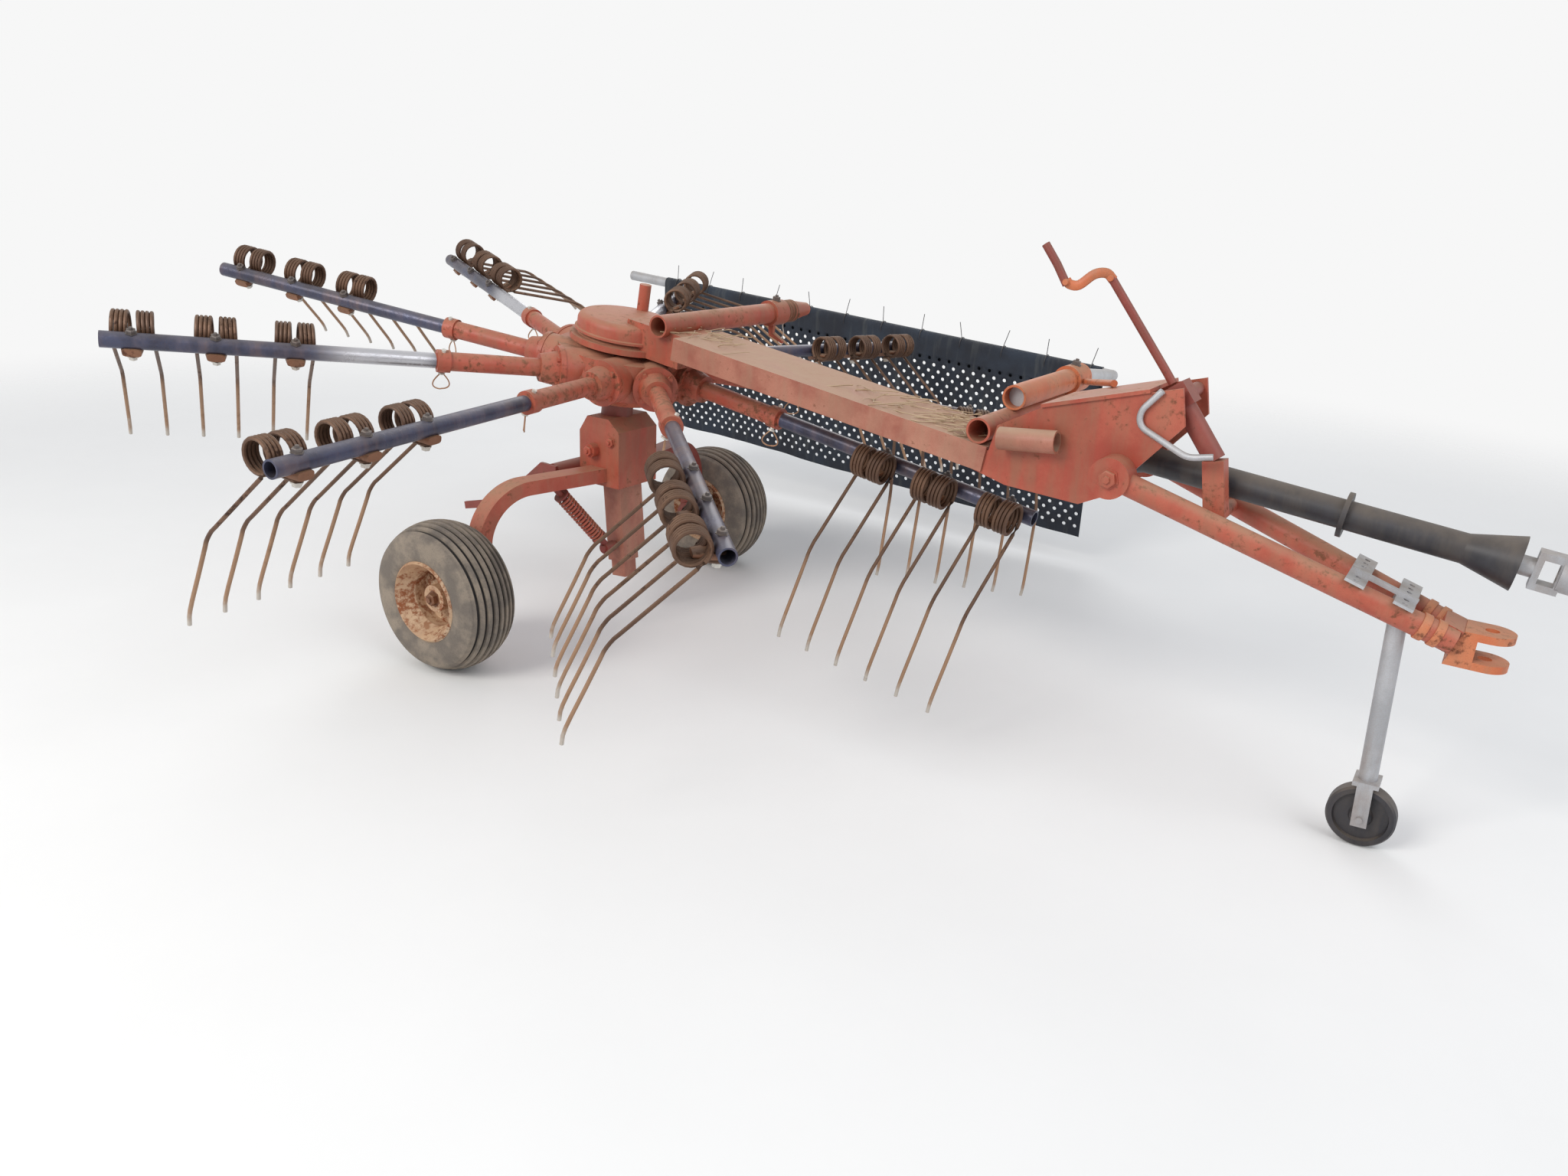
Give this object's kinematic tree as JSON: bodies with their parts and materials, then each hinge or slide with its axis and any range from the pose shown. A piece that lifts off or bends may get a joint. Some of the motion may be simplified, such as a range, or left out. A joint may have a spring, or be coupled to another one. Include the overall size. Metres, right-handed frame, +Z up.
{
  "type": "rotary hay rake",
  "caption": "Towed single-rotor hay rake with cranked spring-tine arms, a swath curtain on a side rail, two tyred wheels and a parking jack",
  "frame": {"origin": "on the ground, under the middle of the machine's box", "axes": "+X ahead to the hitch, +Y to the machine's left where the curtain is, +Z up"},
  "size_m": [3.7403, 2.8027, 1.2086],
  "materials": {
    "red_paint": "faded, dusty",
    "dusty_paint": "dusty",
    "dark_paint": "worn",
    "orange_paint": "faded",
    "rim_paint": "rust-stained",
    "tine_steel": "rusty",
    "galvanised": "weathered zinc",
    "guard_plastic": "dusty",
    "curtain_cloth": "coated",
    "tyre_rubber": "dusty"
  },
  "bodies": {
    "chassis": {"hub_cover": "red_paint", "mast_neck": "dark_paint", "mast_head": "red_paint", "mast": "dusty_paint", "suspension_spring": "tine_steel", "axle_tube": "dark_paint", "right_wheel_arm": "red_paint", "left_wheel_arm": "dark_paint", "guard_bar": "dark_paint", "main_beam": "dusty_paint", "rear_cross_tube": "red_paint", "front_cross_tube": "red_paint", "curtain_holder": "orange_paint", "storage_tube": "dusty_paint", "frame_head": "red_paint", "drawbar": "red_paint", "hitch_clevis": "orange_paint", "height_crank": "dark_paint", "crank_housing": "dark_paint", "driveline_guard": "guard_plastic", "driveline_yoke": "galvanised", "driveline_hook": "galvanised", "jack_bracket": "galvanised"},
    "rotor": {"rotor_hub": "red_paint", "tine_arm_1": "red_paint", "tine_arm_2": "red_paint", "tine_arm_3": "red_paint", "tine_arm_4": "red_paint", "tine_arm_5": "red_paint", "tine_arm_6": "red_paint", "tine_arm_7": "red_paint", "tine_arm_8": "red_paint", "tine_arm_9": "red_paint", "tine_set_1": "tine_steel", "tine_set_2": "tine_steel", "tine_set_3": "tine_steel", "tine_set_4": "tine_steel", "tine_set_5": "tine_steel", "tine_set_6": "tine_steel", "tine_set_7": "tine_steel", "tine_set_8": "tine_steel", "tine_set_9": "tine_steel"},
    "right_wheel": {"right_tyre": "tyre_rubber", "right_rim": "rim_paint"},
    "left_wheel": {"left_tyre": "tyre_rubber", "left_rim": "rim_paint"},
    "jack": {"jack_leg": "galvanised"},
    "jack_roller": {"jack_wheel": "tyre_rubber"},
    "curtain": {"curtain_rail": "galvanised", "swath_curtain": "curtain_cloth"}
  },
  "joints": [
    {"name": "rotor_spin", "type": "hinge", "parent": "chassis", "child": "rotor", "pos_m": [-0.504, -0.094, 0.767], "axis": [0.1513, 0, 0.9885], "continuous": true},
    {"name": "right_wheel_spin", "type": "hinge", "parent": "chassis", "child": "right_wheel", "pos_m": [-0.604, -0.694, 0.205], "axis": [0, 1, 0], "continuous": true},
    {"name": "left_wheel_spin", "type": "hinge", "parent": "chassis", "child": "left_wheel", "pos_m": [-0.604, 0.506, 0.205], "axis": [0, 1, 0], "continuous": true},
    {"name": "jack_swing", "type": "hinge", "parent": "chassis", "child": "jack", "pos_m": [1.57883, -0.094, 0.54761], "axis": [0, 1, 0], "range_deg": [0, 84]},
    {"name": "jack_wheel_spin", "type": "hinge", "parent": "jack", "child": "jack_roller", "pos_m": [1.60386, -0.094, 0.07], "axis": [0, 1, 0], "continuous": true},
    {"name": "curtain_slide", "type": "slide", "parent": "chassis", "child": "curtain", "axis": [0, 1, 0], "range_m": [0, 0.3]}
  ]
}
